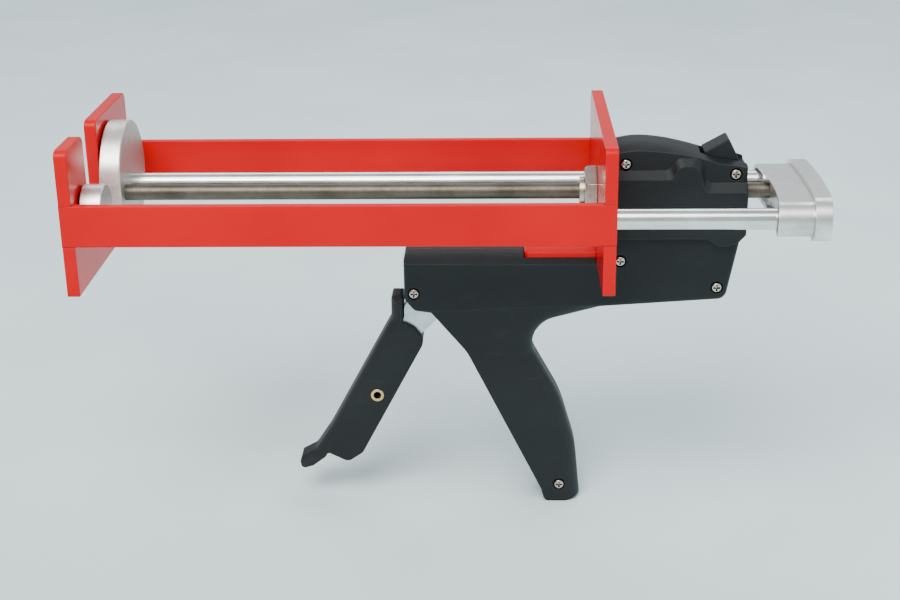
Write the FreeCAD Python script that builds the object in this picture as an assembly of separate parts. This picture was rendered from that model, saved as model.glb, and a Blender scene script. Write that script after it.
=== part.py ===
import FreeCAD, Part

import math
import os

# Two-component dispensing gun, millimetres, +Z up.
# Working axes: X runs rearward from the front plate's front face, Y across the
# carriage from its centre plane (the large cartridge is on the +Y side), Z up from
# the rails' lower edges.  save() moves every part to the row frame, whose origin is
# on the ground plane under the middle of the gun.

# --- driving dimensions -------------------------------------------------------
CARRIAGE_LENGTH = 258.0
CARRIAGE_WIDTH = 120.0
PLATE = 6.0
PLATE_TOP = 46.2
PLATE_BOTTOM = -24.8
RAIL_HEIGHT = 20.0
RAIL = 4.0
SLOT_CENTRE_Y = -16.5
SLOT_WIDTH = 25.2
SLOT_FLOOR = -3.0

ROD_Z = 8.7
SMALL_ROD_Y = -46.2
LARGE_ROD_Y = 17.0
PUSH_ROD_R = 5.0
DRIVE_ROD_R = 4.0
RUNNING = 0.05
PLATE_CORNER = 4.3
FOOT_CORNER = 1.0
MOUTH_CORNER = 4.5
FOOT_FRONT = 216.4
FOOT_HALF = 8.3
FOOT = 4.0
PAINTED_EDGE = 0.5
DISC_FRONT = 7.0
DISC = 10.3
DISC_Z = 13.0
LARGE_DISC_Y = 17.0
LARGE_DISC_R = 27.8
SMALL_DISC_Y = -39.4
SMALL_DISC_R = 11.4

PULL_FRONT = 332.3
ROD_END = PULL_FRONT + 9.0
END_SCREW_R = 2.5
PULL_BLOCK = 16.9
PULL_LIP = 7.8
PULL_CROWN = 2.0
PULL_DISH = 3.0
LIP_BOW = 1.7
BLOCK_R = 8.3
LIP_R = 10.5

BODY_HALF = 12.5
BAND_HALF = 16.0
WALL = 2.5
BAND_BOTTOM = -11.5
BAND_TOP = 18.6
STEP_HALF = 13.3
HANDLE_HALF = 12.2
HANDLE_REAR_R = 8.0
GRIP_WALL = 4.5
GRIP_CAVITY_HALF = 8.5
BODY_REAR = 324.5
STEP_X = CARRIAGE_LENGTH
SHELF_Z = PLATE_BOTTOM - 0.2
FRONT_TOP = -21.5
GRIP_BUTT = -158.0

PIVOT = (161.0, -41.3)
PIVOT_R = 2.5
ARM = 9.0
ARM_LEAN = 35.0
LEVER_HALF = 8.0
SHEET = 2.0
GRIP_HALF = 10.5
GRIP_FRONT_R = 7.0
GRIP_TOP = -44.4

COLLAR_R = 7.0
COLLAR_FRONT = 243.5
COLLAR_REAR = 266.0
NUT = 6.0
NUT_FLATS = 22.0
DRIVE_PLATE_X = 279.0
DRIVE_PLATE = 5.0
LINK_PIN = (PIVOT[0] + ARM * math.sin(math.radians(ARM_LEAN)),
            PIVOT[1] + ARM * math.cos(math.radians(ARM_LEAN)))
LINK_TOP = LINK_PIN[1] + 2.4
LINK_FOOT = LINK_PIN[1] - 3.2
LINK_HALF = 3.0
RELEASE_PIVOT = (298.0, -15.0)
RELEASE_LEAN = 13.0
RELEASE_PLATE = 3.0
RELEASE_TOP = 27.5
RIB_X = 287.5
RIB = 2.0
TAB_HALF = 6.8
TAB_FRONT = 303.6
TAB_FLOOR = 23.3

BODY_SCREWS = ((161.0, -41.3), (235.0, -148.1), (312.0, -38.1),
               (263.8, -24.1), (265.2, 25.6), (318.5, 20.4))
SCREW_HEAD_R = 2.45
SCREW_POCKET_R = 3.25
SCREW_R = 1.5
SCREW_SEAT = 1.2 - BODY_HALF
SCREW_END = BODY_HALF - WALL - 0.5
BOSS_TOP = BODY_HALF - WALL + 0.5
CROSS = 1.7
CROSS_ARM = 0.45
INSERT = (140.9, -97.8)
INSERT_R = 3.3

ORIGIN = (PULL_FRONT + PULL_BLOCK + PULL_LIP + PULL_CROWN) / 2.0


def vec(x, y, z):
    return FreeCAD.Vector(x, y, z)


def save(node, shape):
    """Write one part, moved from the working axes to the row frame."""
    moved = shape.copy()
    moved.translate(vec(-ORIGIN, 0, -GRIP_BUTT))
    if len(moved.Solids) == 1:
        moved = moved.Solids[0]
    moved.exportStep("parts/" + node + ".step")


def box(x0, x1, y0, y1, z0, z1):
    return Part.makeBox(x1 - x0, y1 - y0, z1 - z0, vec(x0, y0, z0))


def rod_x(x0, x1, y, z, r):
    return Part.makeCylinder(r, x1 - x0, vec(x0, y, z), vec(1, 0, 0))


def rod_y(y0, y1, x, z, r):
    return Part.makeCylinder(r, y1 - y0, vec(x, y0, z), vec(0, 1, 0))


def rounded_wire(points, y):
    """Closed XZ outline at one Y: each corner (x, z, radius) becomes a tangent arc."""
    arcs, starts, ends = [], [], []
    count = len(points)
    for i in range(count):
        before, here, after = points[i - 1], points[i], points[(i + 1) % count]
        corner = vec(here[0], y, here[1])
        if here[2] == 0:
            arcs.append(None)
            starts.append(corner)
            ends.append(corner)
            continue
        back = (vec(before[0], y, before[1]) - corner).normalize()
        ahead = (vec(after[0], y, after[1]) - corner).normalize()
        half = back.getAngle(ahead) / 2.0
        reach = here[2] / math.tan(half)
        depth = here[2] / math.sin(half) - here[2]
        starts.append(corner + back * reach)
        ends.append(corner + ahead * reach)
        middle = corner + (back + ahead).normalize() * depth
        arcs.append(Part.Arc(starts[i], middle, ends[i]).toShape())
    loop = []
    for i in range(count):
        if arcs[i]:
            loop.append(arcs[i])
        following = starts[(i + 1) % count]
        if ends[i].distanceToPoint(following) > 1e-6:
            loop.append(Part.makeLine(ends[i], following))
    return Part.Wire(loop)


def slab(points, y0, y1):
    """XZ outline with rounded corners, extruded from y0 to y1."""
    return Part.Face(rounded_wire(points, y0)).extrude(vec(0, y1 - y0, 0))


def shrunk(points, inset, y0, y1):
    """The same outline drawn in by a wall's thickness, extruded from y0 to y1."""
    face = Part.Face(rounded_wire(points, y0)).makeOffset2D(-inset, 0, False, False, True)
    return face.extrude(vec(0, y1 - y0, 0))


def between(side, y0, y1):
    """Two distances from the centre plane as ascending Y limits on one side."""
    return sorted((side * y0, side * y1))


def hexagon(x, length, y, corner):
    """Hexagonal prism along X; corner is the radius through its corners."""
    ring = [vec(x, y + corner * math.sin(math.radians(60 * k)),
                ROD_Z + corner * math.cos(math.radians(60 * k))) for k in range(6)]
    return Part.Face(Part.makePolygon(ring + ring[:1])).extrude(vec(length, 0, 0))


def stadium(x0, x1, r):
    """Bar across both push rods with ends round about their axes."""
    bar = box(x0, x1, SMALL_ROD_Y, LARGE_ROD_Y, ROD_Z - r, ROD_Z + r)
    near = rod_x(x0, x1, SMALL_ROD_Y, ROD_Z, r)
    far = rod_x(x0, x1, LARGE_ROD_Y, ROD_Z, r)
    return bar.fuse([near, far]).removeSplitter()


def long_edges(shape, y):
    """Edges that lie wholly in the plane at one Y."""
    return [e for e in shape.Edges if all(abs(v.Y - y) < 1e-6 for v in e.Vertexes)
            and abs(e.BoundBox.YMax - y) < 1e-3 and abs(e.BoundBox.YMin - y) < 1e-3]


# --- carriage -----------------------------------------------------------------
def end_plate(x0, openings):
    """Plate with rounded corners and rims; its side notches take the rails."""
    half = CARRIAGE_WIDTH / 2.0
    plate = box(x0, x0 + PLATE, -half, half, PLATE_BOTTOM, PLATE_TOP)
    corners = [e for e in plate.Edges if e.BoundBox.XLength > PLATE - 0.1]
    plate = plate.makeFillet(PLATE_CORNER, [e for e in corners if e.BoundBox.ZMin > 0])
    feet = [e for e in plate.Edges
            if e.BoundBox.XLength > PLATE - 0.1 and e.BoundBox.ZMax < PLATE_BOTTOM + 1.0]
    plate = plate.makeFillet(FOOT_CORNER, feet).cut(openings)
    rims = [e for e in plate.Edges if e.BoundBox.XLength < 0.01]
    plate = plate.makeFillet(PAINTED_EDGE, rims)
    notches = [box(x0 - 1, x0 + PLATE + 1, side * half - RAIL, side * half + RAIL,
                   0, RAIL_HEIGHT) for side in (-1, 1)]
    return plate.cut(notches)


def front_plate():
    left = SLOT_CENTRE_Y - SLOT_WIDTH / 2.0
    slot = box(-1, PLATE + 1, left, left + SLOT_WIDTH, SLOT_FLOOR, PLATE_TOP + 1)
    floor_edges = [e for e in slot.Edges if e.BoundBox.XLength > PLATE
                   and e.BoundBox.ZMax < SLOT_FLOOR + 0.1]
    slot = slot.makeFillet(6.0, floor_edges)
    mouth = []
    for edge, outward in ((left, -1), (left + SLOT_WIDTH, 1)):
        corner = box(-1, PLATE + 1, *between(outward, outward * edge,
                                             outward * edge + MOUTH_CORNER),
                     PLATE_TOP - MOUTH_CORNER, PLATE_TOP + 1)
        arc = rod_x(-2, PLATE + 2, edge + outward * MOUTH_CORNER,
                    PLATE_TOP - MOUTH_CORNER, MOUTH_CORNER)
        mouth.append(corner.cut(arc))
    return end_plate(0.0, slot.fuse(mouth))


def rear_plate():
    x0 = CARRIAGE_LENGTH - PLATE
    holes = [rod_x(x0 - 1, x0 + PLATE + 1, SMALL_ROD_Y, ROD_Z, PUSH_ROD_R + RUNNING),
             rod_x(x0 - 1, x0 + PLATE + 1, LARGE_ROD_Y, ROD_Z, PUSH_ROD_R + RUNNING),
             rod_x(x0 - 1, x0 + PLATE + 1, 0, ROD_Z, COLLAR_R)]
    return end_plate(x0, []).cut(holes)


def side_rail(side):
    y = side * CARRIAGE_WIDTH / 2.0
    rail = box(0, CARRIAGE_LENGTH, min(y, y - side * RAIL), max(y, y - side * RAIL),
               0, RAIL_HEIGHT)
    return rail.makeFillet(PAINTED_EDGE, [e for e in rail.Edges
                                          if e.BoundBox.XLength > CARRIAGE_LENGTH - 1])


def foot_bracket():
    foot = box(FOOT_FRONT, CARRIAGE_LENGTH - PLATE, -FOOT_HALF, FOOT_HALF,
               PLATE_BOTTOM, PLATE_BOTTOM + FOOT)
    corners = [e for e in foot.Edges
               if e.BoundBox.ZLength > FOOT - 0.1 and e.BoundBox.XMax < FOOT_FRONT + 0.1]
    foot = foot.makeFillet(3.4, corners)
    rims = [e for e in foot.Edges if e.BoundBox.ZMin > PLATE_BOTTOM + FOOT - 0.01
            and e.BoundBox.XMin < CARRIAGE_LENGTH - PLATE - 0.1]
    return foot.makeFillet(PAINTED_EDGE, rims)


def threaded_collar():
    tube = rod_x(COLLAR_FRONT, COLLAR_REAR, 0, ROD_Z, COLLAR_R)
    flange = rod_x(STEP_X + WALL, STEP_X + WALL + 3.0, 0, ROD_Z, 9.0)
    bore = rod_x(COLLAR_FRONT - 1, COLLAR_REAR + 1, 0, ROD_Z, DRIVE_ROD_R + RUNNING)
    return tube.fuse(flange).cut(bore)


def collar_nut():
    x0 = CARRIAGE_LENGTH - PLATE - NUT
    corner = NUT_FLATS / math.sqrt(3.0)
    body = hexagon(x0, NUT, 0, corner)
    crown = Part.makeCone(NUT_FLATS / 2.0 + 0.3, corner + 2.6, 4.0,
                          vec(x0, 0, ROD_Z), vec(1, 0, 0))
    skirt = rod_x(x0 + 4.0, x0 + NUT, 0, ROD_Z, corner + 1)
    return body.common(crown.fuse(skirt)).cut(rod_x(x0 - 1, x0 + NUT + 1, 0, ROD_Z, COLLAR_R))


# --- plunger ------------------------------------------------------------------
def push_rod(y):
    return rod_x(DISC_FRONT + DISC, ROD_END, y, ROD_Z, PUSH_ROD_R)


def drive_rod():
    return rod_x(DISC_FRONT + DISC, ROD_END, 0, ROD_Z, DRIVE_ROD_R)


def push_disc(y, radius, screw_ys):
    disc = rod_x(DISC_FRONT, DISC_FRONT + DISC, y, DISC_Z, radius)
    disc = disc.makeChamfer(0.5, [e for e in disc.Edges if e.Closed])
    for screw_y in screw_ys:
        hole = rod_x(DISC_FRONT - 1, DISC_FRONT + DISC + 1, screw_y, ROD_Z, END_SCREW_R)
        sink = Part.makeCone(5.0, END_SCREW_R, 2.5, vec(DISC_FRONT, screw_y, ROD_Z),
                             vec(1, 0, 0))
        disc = disc.cut([hole, sink])
    return disc


def disc_screw(y):
    """Countersunk hex-socket screw from the disc's front face into the rod's end."""
    head = Part.makeCone(5.0, END_SCREW_R, 2.5, vec(DISC_FRONT, y, ROD_Z), vec(1, 0, 0))
    shank = rod_x(DISC_FRONT + 2.5, DISC_FRONT + DISC, y, ROD_Z, END_SCREW_R)
    return head.fuse(shank).cut(hexagon(DISC_FRONT - 1, 3.2, y, 1.7))


def bow(x, rise):
    """Upright drum bowed rearward across the crossbar: x at its ends, x + rise mid-way."""
    reach = (LARGE_ROD_Y - SMALL_ROD_Y) / 2.0 + LIP_R
    r = (reach ** 2 + rise ** 2) / (2.0 * rise)
    return Part.makeCylinder(r, 4 * LIP_R, vec(x + rise - r, (SMALL_ROD_Y + LARGE_ROD_Y) / 2.0,
                                               ROD_Z - 2 * LIP_R))


def crossbar():
    lip_x = PULL_FRONT + PULL_BLOCK
    rear = lip_x + PULL_LIP + PULL_CROWN
    block = stadium(PULL_FRONT, lip_x + 3.0, BLOCK_R).cut(bow(PULL_FRONT, PULL_DISH))
    lip = stadium(lip_x, rear + 1, LIP_R).common(bow(lip_x + PULL_LIP, PULL_CROWN))
    bar = block.fuse(lip.cut(bow(lip_x, LIP_BOW))).removeSplitter()
    pocket = stadium(PULL_FRONT - 1, ROD_END, BLOCK_R - 1.8)
    for y, r in ((SMALL_ROD_Y, PUSH_ROD_R), (LARGE_ROD_Y, PUSH_ROD_R), (0, DRIVE_ROD_R)):
        bar = bar.cut([rod_x(PULL_FRONT - 1, ROD_END, y, ROD_Z, r),
                       rod_x(PULL_FRONT, rear + 1, y, ROD_Z, END_SCREW_R),
                       rod_x(lip_x + 2.0, rear + 1, y, ROD_Z, 4.4)])
    return bar.cut(pocket.common(bow(PULL_FRONT + 2.0, PULL_DISH)))


def crossbar_screw(y):
    """Socket-head screw sunk in the crossbar's rear, up against the rod's end."""
    seat = PULL_FRONT + PULL_BLOCK + 2.0
    head = rod_x(seat, seat + 4.5, y, ROD_Z, 4.2)
    rim = [e for e in head.Edges if e.Closed and e.BoundBox.XMin > seat + 1]
    head = head.makeChamfer(0.4, rim)
    shank = rod_x(ROD_END, seat, y, ROD_Z, END_SCREW_R)
    return head.fuse(shank).cut(hexagon(seat + 2.0, 4.0, y, 2.3))


# --- body ---------------------------------------------------------------------
BODY_OUTLINE = [
    (156.0, FRONT_TOP, 3.0), (156.0, -44.8, 3.0), (161.0, -51.0, 4.0), (170.0, -52.3, 4.0),
    (176.0, -52.3, 3.0), (256.0, -48.6, 60.0), (316.6, -44.6, 5.0), (322.6, -12.9, 3.0),
    (BODY_REAR, -8.0, 1.5), (BODY_REAR, 25.8, 4.5), (306.0, 33.0, 20.0), (284.0, 38.0, 20.0),
    (STEP_X, 38.0, 1.0), (STEP_X, FRONT_TOP, 0)]

HANDLE_OUTLINE = [
    (167.0, -40.0, 0), (167.0, -48.5, 0), (187.4, -73.0, 25.0), (226.0, -151.5, 0),
    (226.0, -172.0, 0), (247.6, -172.0, 0), (243.4, -128.0, 60.0), (235.4, -100.5, 60.0),
    (217.8, -68.5, 13.5), (227.5, -57.8, 14.0), (262.0, -48.6, 0), (262.0, -40.0, 0)]

BUTT_OUTLINE = [
    (150.0, -30.0, 0), (150.0, -100.0, 0), (199.6, -100.0, 0), (226.0, -152.0, 12.0),
    (227.5, GRIP_BUTT, 3.5), (239.0, GRIP_BUTT, 20.0), (246.4, -155.6, 4.0),
    (262.0, -100.0, 0), (270.0, -30.0, 0)]

LEDGE_OUTLINE = [
    (STEP_X, BAND_BOTTOM, 0), (306.0, BAND_BOTTOM, 3.0), (312.0, -15.8, 5.0),
    (320.5, -13.9, 2.0), (BODY_REAR, -9.5, 1.0), (BODY_REAR, 16.3, 1.0),
    (304.8, 16.3, 3.5), (301.2, 28.6, 5.0), (289.8, 28.6, 4.5), (286.2, 22.6, 4.0),
    (STEP_X, 22.6, 0)]

BAND_OUTLINE = [
    (STEP_X, BAND_BOTTOM, 0), (306.0, BAND_BOTTOM, 3.0), (312.0, -15.8, 5.0),
    (320.5, -13.9, 2.0), (BODY_REAR, -9.5, 1.0), (BODY_REAR, 12.0, 1.0),
    (303.8, 12.0, 3.5), (300.2, 25.3, 5.0), (290.6, 25.3, 4.5), (288.0, BAND_TOP, 4.0),
    (STEP_X, BAND_TOP, 0)]

# The upper body's crowned top: x, height on the centre plane, fall at the sides.
CROWN = ((252.0, 36.1, 6.0), (266.0, 36.1, 6.0), (280.0, 36.0, 5.9), (288.0, 34.6, 4.6),
         (295.0, 32.8, 3.4), (303.0, 30.3, 2.6), (312.0, 27.7, 2.5), (328.0, 22.8, 2.5))

# The same for the body's low front, under the carriage.
FRONT_CROWN = ((150.0, FRONT_TOP, 5.0), (175.0, FRONT_TOP, 5.8), (205.0, FRONT_TOP, 6.8),
               (258.0, FRONT_TOP, 7.6))


def crown(table, drop):
    """Everything below one of the body's crowned tops, lowered by one amount."""
    sections = []
    reach = 20.0
    for x, top, fall in table:
        side = top - drop - fall * (reach / BODY_HALF) ** 2
        left, right = vec(x, -reach, side), vec(x, reach, side)
        arch = Part.Arc(left, vec(x, 0, top - drop), right).toShape()
        foot = [vec(x, reach, -60.0), vec(x, -reach, -60.0)]
        sections.append(Part.Wire([arch, Part.makeLine(right, foot[0]),
                                   Part.makeLine(foot[0], foot[1]),
                                   Part.makeLine(foot[1], left)]))
    return Part.makeLoft(sections, True, False)


def body_form(side):
    """Outer form of one half above the grip: crowned tops and flat, rounded side."""
    form = slab(BODY_OUTLINE, *between(side, 0.0, BODY_HALF))
    form = form.makeFillet(2.4, [e for e in long_edges(form, side * BODY_HALF)
                                 if e.BoundBox.ZMin < FRONT_TOP - 0.1 or e.BoundBox.XMin > 257])
    behind_step = box(STEP_X, BODY_REAR + 1, -20, 20, SHELF_Z, 60)
    upper = form.common(behind_step).common(crown(CROWN, 0.0))
    front = form.cut(behind_step)
    high = front.common(box(150.0, STEP_X, -20, 20, -40.0, 0)).common(crown(FRONT_CROWN, 0.0))
    low = front.cut(box(150.0, STEP_X, -20, 20, -40.0, 0))
    seats = [box(FOOT_FRONT - 0.3, STEP_X, -FOOT_HALF - 0.3, FOOT_HALF + 0.3, SHELF_Z, 0),
             box(STEP_X - PLATE - 0.3, STEP_X, -20, 20, SHELF_Z, 0)]
    return upper.fuse([high.cut(seats), low]).removeSplitter()


def handle_form(side):
    """Pistol grip: well rounded along its rear edge, flat-sided elsewhere."""
    limits = between(side, 0.0, HANDLE_HALF)
    form = slab(HANDLE_OUTLINE, *limits)
    rear = [e for e in long_edges(form, side * HANDLE_HALF)
            if e.BoundBox.XMin > 214.0 and e.BoundBox.ZMax < -40.5 and e.BoundBox.ZLength > 0.1
            and not (e.BoundBox.XMax < 228.5 and e.BoundBox.ZMin < -100.0)]
    form = form.makeFillet(HANDLE_REAR_R, rear)
    return form.common(slab(BUTT_OUTLINE, *limits))


def half_cavity(side):
    """Space inside one half, less the bosses that its screws pass through."""
    limits = between(side, -1.0, BODY_HALF - WALL)
    roof = crown(CROWN, WALL + 0.2).fuse(crown(FRONT_CROWN, WALL + 0.2))
    body = shrunk(BODY_OUTLINE, WALL, *limits).common(roof)
    body = body.cut(box(150.0, STEP_X + WALL, -20, 20, SHELF_Z - WALL, 60.0))
    grip = shrunk(HANDLE_OUTLINE, GRIP_WALL, *between(side, -1.0, GRIP_CAVITY_HALF))
    grip = grip.cut(box(200, 260, -20, 20, -180, GRIP_BUTT + WALL))
    bosses = [rod_y(*between(side, 0.0, BOSS_TOP), x, z, 4.4) for x, z in BODY_SCREWS[1:]]
    return body.fuse(grip).cut(bosses)


def half_body(side):
    """One moulded shell: outer form, wall cavity, passages and screw bosses."""
    step = slab(LEDGE_OUTLINE, *between(side, BODY_HALF - 3.0, STEP_HALF))
    ledge = Part.makeLoft([rounded_wire(LEDGE_OUTLINE, side * STEP_HALF),
                           rounded_wire(BAND_OUTLINE, side * BAND_HALF)], True, True)
    shell = body_form(side).fuse([handle_form(side), step, ledge]).cut(half_cavity(side))
    rib = box(RIB_X, RIB_X + RIB, *between(side, 0.0, BOSS_TOP), -4.0, 40.0)
    shell = shell.fuse(rib.common(crown(CROWN, 1.0)))
    rib_bore = rod_x(RIB_X - 1, RIB_X + 3, 0, ROD_Z, DRIVE_ROD_R + 1.0)
    front_bore = rod_x(STEP_X - 1, STEP_X + WALL + 0.01, 0, ROD_Z, COLLAR_R + 0.1)
    rear_bore = rod_x(BODY_REAR - WALL - 2, BODY_REAR + 1, 0, ROD_Z, DRIVE_ROD_R + 0.5)
    lever_bay = box(154.0, 186.0, -8.6, 8.6, -75.0, -46.0)
    eye_bay = box(157.2, 162.0, -8.6, 8.6, -47.0, -30.0)
    release_bay = box(TAB_FRONT - 2.2, BODY_REAR + 1, -TAB_HALF - 0.7, TAB_HALF + 0.7,
                      TAB_FLOOR - 0.6, 45.0)
    groove = PUSH_ROD_R + 0.5
    channel = rod_x(STEP_X - 1, BODY_REAR + 1, LARGE_ROD_Y, ROD_Z, groove)
    mouth = box(STEP_X - 1, BODY_REAR + 1, LARGE_ROD_Y, LARGE_ROD_Y + 5,
                ROD_Z - groove, ROD_Z + groove)
    shell = shell.cut([rib_bore, front_bore, rear_bore, lever_bay, eye_bay, release_bay,
                       channel.fuse(mouth)])
    pad = rod_y(*between(side, LEVER_HALF + 0.6, BOSS_TOP), *PIVOT, PIVOT_R + 1.0)
    shell = shell.fuse(pad)
    for x, z in BODY_SCREWS:
        shell = shell.cut(rod_y(-BODY_HALF - 0.1, SCREW_END, x, z, SCREW_R))
        if side < 0:
            shell = shell.cut(rod_y(-BODY_HALF - 4, SCREW_SEAT, x, z, SCREW_POCKET_R))
    return shell


def body_screw(x, z):
    """Pan-head cross-recess screw from the near side."""
    head = rod_y(SCREW_SEAT - 1.9, SCREW_SEAT, x, z, SCREW_HEAD_R)
    rim = [e for e in head.Edges if e.Closed and e.BoundBox.YMax < SCREW_SEAT - 1]
    head = head.makeFillet(1.0, rim)
    y0, y1 = SCREW_SEAT - 3, SCREW_SEAT - 0.5
    cross = [box(x - CROSS, x + CROSS, y0, y1, z - CROSS_ARM, z + CROSS_ARM),
             box(x - CROSS_ARM, x + CROSS_ARM, y0, y1, z - CROSS, z + CROSS)]
    shank = rod_y(SCREW_SEAT, SCREW_END, x, z, SCREW_R)
    return head.cut(cross).fuse(shank)


# --- trigger ------------------------------------------------------------------
GRIP_OUTLINE = [
    (154.9, -44.4, 2.0), (149.0, -44.4, 2.6), (148.9, -57.0, 6.0), (115.5, -118.4, 20.0),
    (106.8, -131.6, 6.0), (98.3, -136.2, 2.2), (100.2, -140.6, 2.2), (106.0, -138.9, 3.0),
    (112.5, -133.9, 3.0), (114.2, -131.4, 1.0), (124.5, -136.6, 4.0), (132.3, -131.3, 4.0),
    (166.3, -67.4, 7.0), (161.0, -60.6, 4.0), (156.5, -58.0, 1.0), (154.9, -58.0, 0.5)]

# The front surface alone, run on past both ends of the grip.
GRIP_FRONT = [
    (148.95, -20.0, 0), (148.85, -57.0, 6.0), (115.45, -118.4, 20.0), (106.75, -131.6, 6.0),
    (80.0, -146.1, 0), (80.0, -170.0, 0), (200.0, -170.0, 0), (200.0, -20.0, 0)]

LEVER_OUTLINE = [
    (157.6, -40.0, 2.0), (157.6, -46.5, 1.5), (155.6, -50.0, 3.0), (155.6, -56.0, 8.0),
    (121.0, -116.0, 2.0), (129.0, -120.5, 2.0), (158.5, -70.0, 4.0), (175.0, -54.0, 6.0),
    (166.0, -41.5, 4.0), (170.4, -33.1, 2.9), (165.4, -29.7, 2.9)]


def trigger_lever():
    """Bent steel channel: two cheeks joined by a web at the front."""
    whole = slab(LEVER_OUTLINE, -LEVER_HALF, LEVER_HALF)
    channel = [(155.6 + SHEET, -50.0, 0), (155.6 + SHEET, -56.5, 6.0), (122.0, -118.9, 0),
               (140.0, -135.0, 0), (190.0, -80.0, 0), (190.0, -20.0, 0),
               (140.0, -20.0, 0), (140.0, -50.0, 0)]
    lever = whole.cut(slab(channel, SHEET - LEVER_HALF, LEVER_HALF - SHEET))
    return lever.cut([rod_y(-20, 20, PIVOT[0], PIVOT[1], PIVOT_R + RUNNING),
                      rod_y(-20, 20, LINK_PIN[0], LINK_PIN[1], 1.5),
                      rod_y(-20, 0, INSERT[0], INSERT[1], INSERT_R)])


def trigger_grip():
    """Plastic grip, well rounded at the front, with a pocket for the lever."""
    grip = slab(GRIP_OUTLINE, -GRIP_HALF, GRIP_HALF)
    for y in (-GRIP_HALF, GRIP_HALF):
        grip = grip.makeFillet(1.3, long_edges(grip, y))
    wide = GRIP_HALF + 0.1
    front = slab(GRIP_FRONT, -wide, wide)
    for y in (-wide, wide):
        front = front.makeFillet(GRIP_FRONT_R, [
            e for e in long_edges(front, y)
            if e.BoundBox.XMax < 149.5 and e.BoundBox.XMin > 79.9 and e.BoundBox.XLength > 0.01])
    tongue = box(90.0, 200.0, -wide, wide, -170.0, GRIP_TOP)
    tongue = tongue.makeFillet(7.5, [e for e in tongue.Edges if e.BoundBox.XLength > 100
                                     and e.BoundBox.ZMin > GRIP_TOP - 0.1])
    grip = grip.common(front).common(tongue)
    pocket = slab(LEVER_OUTLINE, -LEVER_HALF, LEVER_HALF)
    rear = box(154.9, 190.0, -LEVER_HALF - 0.6, LEVER_HALF + 0.6, -57.0, -20.0)
    grip = grip.cut([pocket, rear])
    return grip.cut(rod_y(-20, -LEVER_HALF + 3.0, INSERT[0], INSERT[1], INSERT_R))


def trigger_insert():
    """Brass thread insert through the grip's near wall and the lever's near cheek."""
    y0 = -GRIP_HALF - 0.3
    body = rod_y(y0, SHEET - LEVER_HALF, INSERT[0], INSERT[1], INSERT_R)
    return body.cut(rod_y(y0 - 1, 0, INSERT[0], INSERT[1], 2.0))


def pivot_bush():
    """Steel tube that the lever turns on, round the front body screw."""
    half = LEVER_HALF + 0.5
    bush = rod_y(-half, half, PIVOT[0], PIVOT[1], PIVOT_R)
    return bush.cut(rod_y(-half - 1, half + 1, PIVOT[0], PIVOT[1], SCREW_R))


# --- drive and release --------------------------------------------------------
def link_pin():
    return rod_y(-LEVER_HALF, LEVER_HALF, LINK_PIN[0], LINK_PIN[1], 1.5)


def pull_link():
    """Flat bar from the lever's pin to the foot of the drive plate.

    The pin rises as the lever turns, so its notch is open at the top.
    """
    x, z = LINK_PIN
    bar = box(x - 3.2, DRIVE_PLATE_X + DRIVE_PLATE + 4, -LINK_HALF, LINK_HALF,
              LINK_FOOT, LINK_TOP)
    seat = box(DRIVE_PLATE_X, DRIVE_PLATE_X + DRIVE_PLATE, -10, 10, LINK_FOOT + 2, LINK_TOP + 1)
    notch = box(x - 1.8, x + 1.8, -10, 10, z, LINK_TOP + 1).fuse(rod_y(-10, 10, x, z, 1.8))
    return bar.cut([seat, notch])


def drive_plate():
    """Hardened plate that tips and bites the drive rod."""
    x0, x1 = DRIVE_PLATE_X, DRIVE_PLATE_X + DRIVE_PLATE
    plate = box(x0, x1, -7.0, 7.0, LINK_FOOT + 2, ROD_Z + 12.0)
    plate = plate.makeFillet(3.0, [e for e in plate.Edges
                                   if e.BoundBox.XLength > DRIVE_PLATE - 0.1
                                   and e.BoundBox.ZMin > ROD_Z])
    return plate.cut(rod_x(x0 - 1, x1 + 1, 0, ROD_Z, DRIVE_ROD_R + 0.3))


def spring(x0, x1, radius, wire, turns):
    """Closed coil around the drive rod."""
    pitch = (x1 - x0 - wire) / turns
    helix = Part.makeHelix(pitch, x1 - x0 - wire, radius)
    start = Part.Wire([Part.makeCircle(wire / 2.0, vec(radius, 0, 0), vec(0, 1, 0))])
    coil = Part.Wire(helix).makePipeShell([start], True, True)
    coil.rotate(vec(0, 0, 0), vec(0, 1, 0), 90)
    coil.translate(vec(x0 + wire / 2.0, 0, ROD_Z))
    return coil


def lean(shape):
    shape.rotate(vec(RELEASE_PIVOT[0], 0, RELEASE_PIVOT[1]), vec(0, 1, 0), RELEASE_LEAN)
    return shape


def release_plate():
    """Leaning brake plate with a round foot that rocks on its pin."""
    x, z = RELEASE_PIVOT
    plate = box(x - RELEASE_PLATE / 2.0, x + RELEASE_PLATE / 2.0, -5.4, 5.4, z, RELEASE_TOP)
    foot = rod_y(-6.0, 6.0, x, z, 3.2)
    along = (ROD_Z - z) / math.cos(math.radians(RELEASE_LEAN))
    plate = lean(plate.fuse(foot))
    hole_x = x + along * math.sin(math.radians(RELEASE_LEAN))
    bore = rod_x(hole_x - 12, hole_x + 12, 0, ROD_Z, DRIVE_ROD_R + 0.9)
    return plate.cut([bore, rod_y(-7, 7, x, z, 1.5 + RUNNING)])


def release_pin():
    return rod_y(-BODY_HALF + WALL, BODY_HALF - WALL, RELEASE_PIVOT[0], RELEASE_PIVOT[1], 1.5)


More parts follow.
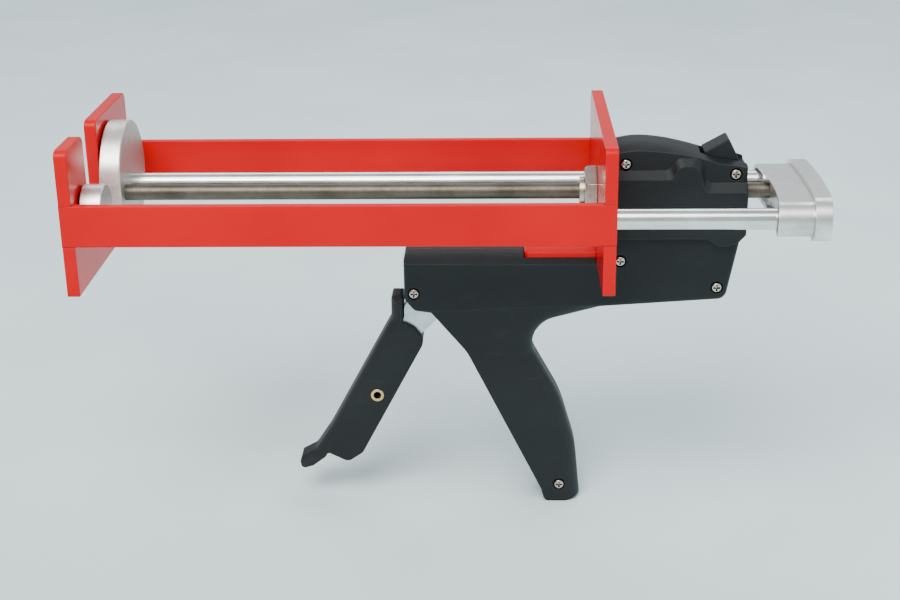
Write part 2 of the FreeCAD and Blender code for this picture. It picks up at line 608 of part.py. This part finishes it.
def release_tab():
    """Thumb wedge on the brake plate's upper end, standing out of the body's top."""
    wedge = slab([(TAB_FRONT, 30.2, 0.6), (315.2, 36.6, 0.8), (322.0, TAB_FLOOR, 0.6),
                  (TAB_FRONT, TAB_FLOOR, 0.6)], -TAB_HALF, TAB_HALF)
    for y in (-TAB_HALF, TAB_HALF):
        wedge = wedge.makeFillet(0.7, long_edges(wedge, y))
    x, z = RELEASE_PIVOT
    socket = lean(box(x - RELEASE_PLATE / 2.0, x + RELEASE_PLATE / 2.0, -7, 7, z, RELEASE_TOP))
    return wedge.cut(socket)


def main():
    os.makedirs("parts", exist_ok=True)
    save("front_plate", front_plate())
    save("rear_plate", rear_plate())
    save("near_side_rail", side_rail(-1))
    save("far_side_rail", side_rail(1))
    save("foot_bracket", foot_bracket())
    save("threaded_collar", threaded_collar())
    save("collar_nut", collar_nut())
    save("drive_rod", drive_rod())
    save("small_push_rod", push_rod(SMALL_ROD_Y))
    save("large_push_rod", push_rod(LARGE_ROD_Y))
    save("small_push_disc", push_disc(SMALL_DISC_Y, SMALL_DISC_R, [SMALL_ROD_Y]))
    save("large_push_disc", push_disc(LARGE_DISC_Y, LARGE_DISC_R, [LARGE_ROD_Y, 0.0]))
    rod_ys = (SMALL_ROD_Y, 0.0, LARGE_ROD_Y)
    save("disc_screws", Part.Compound([disc_screw(y) for y in rod_ys]))
    save("crossbar", crossbar())
    save("crossbar_screws", Part.Compound([crossbar_screw(y) for y in rod_ys]))
    save("near_body_shell", half_body(-1))
    save("far_body_shell", half_body(1))
    save("body_screws", Part.Compound([body_screw(x, z) for x, z in BODY_SCREWS]))
    save("trigger_lever", trigger_lever())
    save("trigger_grip", trigger_grip())
    save("trigger_insert", trigger_insert())
    save("trigger_pivot_bush", pivot_bush())
    save("link_pin", link_pin())
    save("pull_link", pull_link())
    save("drive_plate", drive_plate())
    save("drive_spring", spring(COLLAR_REAR, DRIVE_PLATE_X, 5.6, 1.2, 5.25))
    save("release_plate", release_plate())
    save("release_tab", release_tab())
    save("release_pin", release_pin())
    save("release_spring", spring(RIB_X + RIB, 300.0, 5.6, 1.2, 4.5))


main()
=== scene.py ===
import math

import bpy
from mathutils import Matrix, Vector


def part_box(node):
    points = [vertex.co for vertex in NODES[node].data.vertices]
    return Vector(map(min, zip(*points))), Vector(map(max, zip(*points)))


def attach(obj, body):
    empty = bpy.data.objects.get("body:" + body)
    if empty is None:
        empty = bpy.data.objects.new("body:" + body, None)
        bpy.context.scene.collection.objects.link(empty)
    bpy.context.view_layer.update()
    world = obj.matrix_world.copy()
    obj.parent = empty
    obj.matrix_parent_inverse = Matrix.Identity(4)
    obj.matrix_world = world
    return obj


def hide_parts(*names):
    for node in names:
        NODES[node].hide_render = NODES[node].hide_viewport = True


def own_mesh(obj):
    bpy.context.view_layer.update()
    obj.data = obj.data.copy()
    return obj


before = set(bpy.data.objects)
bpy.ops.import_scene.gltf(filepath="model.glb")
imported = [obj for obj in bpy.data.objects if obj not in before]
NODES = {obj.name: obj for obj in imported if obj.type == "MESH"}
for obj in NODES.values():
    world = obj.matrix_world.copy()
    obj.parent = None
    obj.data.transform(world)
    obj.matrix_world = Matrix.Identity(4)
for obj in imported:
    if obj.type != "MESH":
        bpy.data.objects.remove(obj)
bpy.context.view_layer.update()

# --- camera -------------------------------------------------------------------
# The viewing angle: about 21 degrees down, from the near rail's side.
CAMERA_PLACE = (0.0234, -0.7324, 0.3891)
CAMERA_TURN = (69.06, 0.71, 1.62)
CAMERA_LENS = 61.45

# --- floor size and lights ---------------------------------------------------------
FLOOR_SIDE = 12.0
PANELS = (
    # name, place, size (x, y), watts, aim, colour
    ("key_panel", (-0.35, -0.85, 1.10), (0.8, 0.45), 9.0, (0.0, 0.0, 0.12), (1.0, 0.985, 0.96)),
    ("rear_panel", (0.15, 0.75, 0.95), (1.3, 0.35), 5.0, (0.0, 0.0, 0.12), (0.95, 0.98, 1.0)),
    ("side_panel", (1.1, -0.5, 0.6), (0.4, 0.7), 3.0, (0.0, 0.0, 0.1), (0.95, 0.98, 1.0)),
)
SUN_FROM = (-0.18, -0.62, 1.0)
SUN_ANGLE = 40.0
SUN_STRENGTH = 2.1
SUN_COLOUR = (1.0, 0.99, 0.975)
WORLD_COLOUR = (0.80, 0.87, 0.90)
WORLD_STRENGTH = 0.72

# --- surface detail, in metres ------------------------------------------------
PAINT_EDGE = 0.0007
PLASTIC_EDGE = 0.0006
METAL_EDGE = 0.0005
# How far the painted shade in seams and recesses reaches.
PAINT_SEAM = 0.0012
PLASTIC_SEAM = 0.0015
METAL_RECESS = 0.0016
RING_PITCH = 0.00035
MASK_SAMPLES = 6
# How densely a rod's marks lie along X, Y and Z: long lines, and short streaks.
LONG_LINES = (12.0, 2400.0, 2400.0)
SHORT_STREAKS = (900.0, 300.0, 300.0)


def place_camera():
    """Stand the camera at the viewing angle."""
    data = bpy.data.cameras.new("photo_view")
    data.lens = CAMERA_LENS
    camera = bpy.data.objects.new("photo_view", data)
    camera.location = CAMERA_PLACE
    camera.rotation_euler = [math.radians(turn) for turn in CAMERA_TURN]
    bpy.context.scene.collection.objects.link(camera)
    bpy.context.scene.camera = camera


def place_lamp(data, name, location, towards):
    """Add a lamp at a location, facing along a direction."""
    lamp = bpy.data.objects.new(name, data)
    lamp.location = location
    flat = math.hypot(towards[0], towards[1])
    lamp.rotation_euler = (math.atan2(flat, -towards[2]), 0.0,
                           math.atan2(towards[1], towards[0]) - math.pi / 2.0)
    bpy.context.scene.collection.objects.link(lamp)


def place_lights():
    """Three soft panels, one wide sun and an even pale sky."""
    for name, location, size, watts, aim, colour in PANELS:
        data = bpy.data.lights.new(name, "AREA")
        data.shape = "RECTANGLE"
        data.size, data.size_y = size
        data.energy = watts
        data.color = colour
        place_lamp(data, name, location, [a - p for a, p in zip(aim, location)])
    sun = bpy.data.lights.new("soft_sun", "SUN")
    sun.angle = math.radians(SUN_ANGLE)
    sun.energy = SUN_STRENGTH
    sun.color = SUN_COLOUR
    place_lamp(sun, "soft_sun", SUN_FROM, [-part for part in SUN_FROM])
    world = bpy.data.worlds.new("studio")
    world.use_nodes = True
    sky = world.node_tree.nodes["Background"]
    sky.inputs["Color"].default_value = (*WORLD_COLOUR, 1.0)
    sky.inputs["Strength"].default_value = WORLD_STRENGTH
    bpy.context.scene.world = world


# --- node helpers -------------------------------------------------------------
def add(tree, kind, inputs=None, output=0, **settings):
    """Add one shader node, set or link its inputs, and return one output socket."""
    made = tree.nodes.new("ShaderNode" + kind)
    for name, value in settings.items():
        setattr(made, name, value)
    for name, value in (inputs or {}).items():
        if isinstance(value, bpy.types.NodeSocket):
            tree.links.new(value, made.inputs[name])
        else:
            made.inputs[name].default_value = value
    return made.outputs[output]


def new_material(name, **sockets):
    """A Principled material; its constant values are set on the shader's sockets."""
    material = bpy.data.materials.new(name)
    material.use_nodes = True
    shader = material.node_tree.nodes["Principled BSDF"]
    for socket, value in sockets.items():
        shader.inputs[socket.replace("_", " ").title().replace("Ior", "IOR")].default_value = value
    return material, material.node_tree, shader


def place(tree, scale=(1.0, 1.0, 1.0), shift=(0.0, 0.0, 0.0)):
    """Object coordinates in metres, moved and stretched."""
    coords = add(tree, "TexCoord", output="Object")
    return add(tree, "Mapping", {"Vector": coords, "Location": shift, "Scale": scale})


def noise(tree, vector, scale, detail=3.0, rough=0.5):
    """Smooth noise, mostly between 0.3 and 0.7."""
    return add(tree, "TexNoise", {"Vector": vector, "Scale": scale, "Detail": detail,
                                  "Roughness": rough})


def remap(tree, value, low, high, to_low, to_high):
    """Stretch low..high to to_low..to_high, and clamp it there."""
    return add(tree, "MapRange", {"Value": value, "From Min": low, "From Max": high,
                                  "To Min": to_low, "To Max": to_high})


def maths(tree, operation, a, b=0.0):
    """One sum, product or function of one or two values."""
    return add(tree, "Math", {0: a, 1: b}, operation=operation)


def mix(tree, factor, a, b):
    """Colour a where factor is 0, b where it is 1."""
    values = {0: factor}
    for socket, colour in ((6, a), (7, b)):
        values[socket] = colour if isinstance(colour, bpy.types.NodeSocket) else (*colour, 1.0)
    return add(tree, "Mix", values, output=2, data_type="RGBA")


def bump(tree, height, strength, distance, normal=None):
    """A normal bent by a height, over another normal if there is one."""
    inputs = {"Height": height, "Strength": strength, "Distance": distance}
    if normal is not None:
        inputs["Normal"] = normal
    return add(tree, "Bump", inputs)


def edge_mask(tree, radius):
    """1 along outer edges and 0 on flat faces, and the rounded normal it comes from."""
    rounded = add(tree, "Bevel", {"Radius": radius}, samples=MASK_SAMPLES)
    true = add(tree, "NewGeometry", output="Normal")
    agree = add(tree, "VectorMath", {0: rounded, 1: true}, output="Value",
                operation="DOT_PRODUCT")
    return remap(tree, agree, 0.995, 0.93, 0.0, 1.0), rounded


def crevice_mask(tree, distance):
    """1 deep in seams and corners that are narrower than the distance, where shade falls, and 0 in
    the open.
    """
    light = add(tree, "AmbientOcclusion", {"Distance": distance}, output="AO", samples=MASK_SAMPLES)
    return remap(tree, light, 0.35, 0.75, 1.0, 0.0)


def join(tree, shader, **sockets):
    """Link values into the shader, by the names of its inputs."""
    for socket, value in sockets.items():
        tree.links.new(value, shader.inputs[socket.replace("_", " ").title()])


# --- materials ----------------------------------------------------------------
def red_paint():
    """Glossy enamel: orange peel, edges lighter from rubbing and from a painted highlight, painted
    shade in the seams, and a few chips.
    """
    material, tree, shader = new_material("red_enamel", specular_ior_level=0.11)
    here = place(tree)
    broad = noise(tree, here, 14.0)
    fine = noise(tree, here, 160.0, 4.0)
    peel = noise(tree, here, 520.0, 2.0)
    paint = mix(tree, remap(tree, broad, 0.35, 0.65, 0.0, 1.0),
                (0.60, 0.0003, 0.0045), (0.68, 0.0005, 0.0060))
    mask, rounded = edge_mask(tree, PAINT_EDGE)
    # The lighter pink along the edges is partly rubbed paint and partly a painted highlight.
    rubbed_and_highlit = maths(tree, "MULTIPLY", mask, remap(tree, fine, 0.35, 0.6, 0.1, 0.6))
    colour = mix(tree, rubbed_and_highlit, paint, (0.78, 0.055, 0.05))
    # Painted shade: seams and narrow corners are darkened to near black-red.
    seam_shade = maths(tree, "MULTIPLY", crevice_mask(tree, PAINT_SEAM),
                  remap(tree, fine, 0.3, 0.55, 0.35, 0.9))
    colour = mix(tree, seam_shade, colour, (0.05, 0.012, 0.011))
    spots = noise(tree, here, 240.0, 2.0)
    chips = maths(tree, "MULTIPLY", remap(tree, spots, 0.66, 0.69, 0.0, 1.0),
                  remap(tree, mask, 0.2, 0.6, 0.0, 1.0))
    colour = mix(tree, chips, colour, (0.035, 0.02, 0.018))
    rough = maths(tree, "ADD", remap(tree, fine, 0.3, 0.7, 0.15, 0.24),
                  maths(tree, "MULTIPLY", chips, 0.4))
    join(tree, shader, base_color=colour, roughness=rough,
         normal=bump(tree, peel, 0.10, 0.0002, rounded))
    return material


def moulded_plastic(name, dark, light, low, high):
    """Matte moulded plastic: fine grain, light edges that are partly polish and partly a painted
    highlight, painted shade in the seams, faint handling marks.
    """
    material, tree, shader = new_material(name, specular_ior_level=0.24)
    here = place(tree)
    broad = noise(tree, here, 18.0, 4.0)
    grain = noise(tree, here, 2100.0, 2.0)
    marks = noise(tree, place(tree, (60.0, 60.0, 220.0)), 1.0, 5.0, 0.65)
    colour = mix(tree, remap(tree, broad, 0.35, 0.65, 0.0, 1.0), dark, light)
    scuffs = remap(tree, marks, 0.58, 0.72, 0.0, 0.25)
    colour = mix(tree, scuffs, colour, [c * 1.9 for c in light])
    mask, rounded = edge_mask(tree, PLASTIC_EDGE)
    # The light edges are partly polish and partly a painted highlight.
    polished_and_highlit = maths(tree, "MULTIPLY", mask, remap(tree, marks, 0.35, 0.6, 0.45, 1.0))
    colour = mix(tree, polished_and_highlit, colour, [c * 3.6 for c in light])
    # Painted shade: the seams between parts and narrow corners are darkened.
    colour = mix(tree, crevice_mask(tree, PLASTIC_SEAM), colour, [c * 0.25 for c in dark])
    rough = maths(tree, "ADD", remap(tree, grain, 0.3, 0.7, low, high),
                  maths(tree, "MULTIPLY", polished_and_highlit, -0.12))
    join(tree, shader, base_color=colour, roughness=rough,
         normal=bump(tree, grain, 0.22, 0.00012, rounded))
    return material


def drawn_metal(name, dark, light, low, high, stretch, bump_by=0.05):
    """Rod metal: fine marks that lie as stretch says, uneven shine and soft stains."""
    material, tree, shader = new_material(name, metallic=1.0)
    lines = noise(tree, place(tree, stretch), 1.0, 4.0, 0.6)
    stains = noise(tree, place(tree), 55.0, 4.0, 0.6)
    colour = mix(tree, remap(tree, stains, 0.35, 0.65, 0.0, 1.0), dark, light)
    colour = mix(tree, remap(tree, lines, 0.55, 0.75, 0.0, 0.5), colour, dark)
    rough = maths(tree, "ADD", remap(tree, lines, 0.3, 0.7, low, high),
                  remap(tree, stains, 0.4, 0.7, -0.02, 0.04))
    join(tree, shader, base_color=colour, roughness=rough,
         normal=bump(tree, lines, bump_by, 0.0001))
    return material


def turned_metal(name, centre, dark, light, low, high, pitch):
    """Lathe-turned face: rings about an axis along X through centre (y, z), and painted shade on
    the faces that face along X.
    """
    material, tree, shader = new_material(name, metallic=1.0)
    around = place(tree, (0.0, 1.0, 1.0), (0.0, -centre[0], -centre[1]))
    radius = add(tree, "VectorMath", {0: around}, output="Value", operation="LENGTH")
    wobble = noise(tree, place(tree), 90.0, 3.0)
    phase = maths(tree, "ADD", maths(tree, "MULTIPLY", radius, 2.0 * math.pi / pitch), wobble)
    rings = maths(tree, "SINE", phase)
    marks = noise(tree, place(tree), 130.0, 5.0, 0.65)
    colour = mix(tree, remap(tree, marks, 0.4, 0.65, 0.0, 1.0), light, dark)
    # Painted shade: the faces that face along X are darkened.
    facing = add(tree, "SeparateXYZ", {0: add(tree, "TexCoord", output="Normal")}, output="X")
    face = remap(tree, maths(tree, "ABSOLUTE", facing), 0.5, 0.9, 0.0, 1.0)
    colour = mix(tree, maths(tree, "MULTIPLY", face, 0.8), colour, [c * 0.62 for c in dark])
    rough = maths(tree, "ADD", remap(tree, rings, -1.0, 1.0, low, high),
                  remap(tree, marks, 0.35, 0.7, 0.0, 0.06))
    rough = maths(tree, "ADD", rough, maths(tree, "MULTIPLY", face, 0.1))
    join(tree, shader, base_color=colour, roughness=rough,
         normal=bump(tree, rings, 0.12, 0.00006))
    return material


def cast_metal(name, dark, light, low, high, grain=700.0, bump_by=0.12, recess_shade_weight=0.5):
    """Satin metal: small pits, cloudy shine, lighter outer edges and painted shade in the recesses.
    """
    material, tree, shader = new_material(name, metallic=1.0)
    here = place(tree)
    clouds = noise(tree, here, 85.0, 4.0, 0.6)
    pits = noise(tree, here, grain, 3.0)
    mask, rounded = edge_mask(tree, METAL_EDGE)
    colour = mix(tree, remap(tree, clouds, 0.38, 0.66, 0.0, 1.0), light, dark)
    colour = mix(tree, maths(tree, "MULTIPLY", mask, 0.6), colour,
                 [min(1.0, c * 1.15) for c in light])
    # Painted shade: recesses, most of all the screws' cross slots, are darkened.
    recess_shade = maths(tree, "MULTIPLY", crevice_mask(tree, METAL_RECESS), recess_shade_weight)
    colour = mix(tree, recess_shade, colour, (0.03, 0.026, 0.022))
    rough = maths(tree, "ADD", remap(tree, clouds, 0.3, 0.7, low, high),
                  remap(tree, pits, 0.35, 0.65, 0.0, 0.06))
    join(tree, shader, base_color=colour, roughness=rough,
         normal=bump(tree, pits, bump_by, 0.00012, rounded))
    return material


def floor_cloth():
    """Plain pale sheet with very soft mottling."""
    material, tree, shader = new_material("pale_sheet", roughness=0.9, specular_ior_level=0.1)
    here = place(tree)
    soft = noise(tree, here, 5.5, 4.0)
    fine = noise(tree, here, 900.0, 2.0)
    colour = mix(tree, remap(tree, soft, 0.35, 0.65, 0.0, 1.0),
                 (0.685, 0.82, 0.84), (0.745, 0.88, 0.895))
    join(tree, shader, base_color=colour, normal=bump(tree, fine, 0.1, 0.0002))
    return material


# --- dressing the object ------------------------------------------------------
def disc_axis(node):
    """The y and z of a disc's axis, which is the middle of its box."""
    low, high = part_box(node)
    return (low[1] + high[1]) / 2.0, (low[2] + high[2]) / 2.0


def dress(node, material):
    """Give every material slot of a CAD node one material."""
    for held in NODES[node].material_slots:
        held.link = "OBJECT"
        held.material = material


def close_spring(material):
    """The grip plate's spring, copied from its CAD node and hung on the frame."""
    node = NODES["drive_spring"]
    piece = bpy.data.objects.new("closing_drive_spring", node.data.copy())
    bpy.context.scene.collection.objects.link(piece)
    piece.matrix_world = node.matrix_world.copy()
    piece.data.materials.clear()
    piece.data.materials.append(material)
    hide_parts("drive_spring")
    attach(piece, "frame")
    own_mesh(piece)


def dress_all():
    """Give each CAD node its finish, and put in a copy of the grip plate's spring."""
    red = red_paint()
    black = moulded_plastic("black_shell_plastic", (0.0085, 0.0105, 0.0115),
                            (0.0125, 0.0150, 0.0165), 0.46, 0.60)
    grip = moulded_plastic("black_grip_plastic", (0.0095, 0.0115, 0.0125),
                           (0.0140, 0.0165, 0.0180), 0.48, 0.62)
    plated = drawn_metal("bright_plating", (0.72, 0.72, 0.705), (0.87, 0.87, 0.855),
                         0.16, 0.26, LONG_LINES)
    drive = drawn_metal("drive_steel", (0.095, 0.081, 0.062), (0.155, 0.137, 0.110),
                        0.38, 0.52, SHORT_STREAKS, 0.15)
    cast = cast_metal("cast_aluminium", (0.60, 0.60, 0.59), (0.84, 0.84, 0.83), 0.26, 0.42)
    zinc = cast_metal("zinc_plate", (0.50, 0.55, 0.58), (0.66, 0.71, 0.74), 0.28, 0.42)
    # The screws carry the full painted shade in their recesses.
    nickel = cast_metal("nickel_screws", (0.40, 0.35, 0.29), (0.66, 0.60, 0.52), 0.20, 0.32,
                        recess_shade_weight=1.0)
    brass = cast_metal("brass", (0.50, 0.33, 0.10), (0.78, 0.56, 0.24), 0.22, 0.34)
    hardened = cast_metal("hardened_steel", (0.17, 0.17, 0.17), (0.27, 0.27, 0.27), 0.3, 0.45)
    wire = cast_metal("spring_wire", (0.30, 0.30, 0.29), (0.46, 0.46, 0.45), 0.22, 0.34)
    finishes = (
        (red, ("front_plate", "rear_plate", "near_side_rail", "far_side_rail",
               "foot_bracket")),
        (black, ("near_body_shell", "far_body_shell", "release_tab")),
        (grip, ("trigger_grip",)),
        (plated, ("small_push_rod", "large_push_rod")),
        (drive, ("drive_rod",)),
        (cast, ("crossbar",)),
        (zinc, ("trigger_lever", "pull_link", "trigger_pivot_bush")),
        (nickel, ("body_screws", "disc_screws", "crossbar_screws", "collar_nut",
                  "threaded_collar", "link_pin", "release_pin")),
        (brass, ("trigger_insert",)),
        (hardened, ("drive_plate", "release_plate")),
        (wire, ("release_spring",)),
    )
    for material, names in finishes:
        for name in names:
            dress(name, material)
    for node in ("small_push_disc", "large_push_disc"):
        dress(node, turned_metal("turned_" + node, disc_axis(node), (0.70, 0.675, 0.63),
                                 (0.90, 0.88, 0.84), 0.30, 0.46, RING_PITCH))
    close_spring(wire)


# --- floor --------------------------------------------------------------------
def lay_floor():
    """The pale sheet that the gun stands on."""
    half = FLOOR_SIDE / 2.0
    mesh = bpy.data.meshes.new("floor")
    mesh.from_pydata([(-half, -half, 0.0), (half, -half, 0.0), (half, half, 0.0),
                      (-half, half, 0.0)], [], [(0, 1, 2, 3)])
    floor = bpy.data.objects.new("floor", mesh)
    bpy.context.scene.collection.objects.link(floor)
    mesh.materials.append(floor_cloth())


place_camera()
place_lights()
lay_floor()
dress_all()
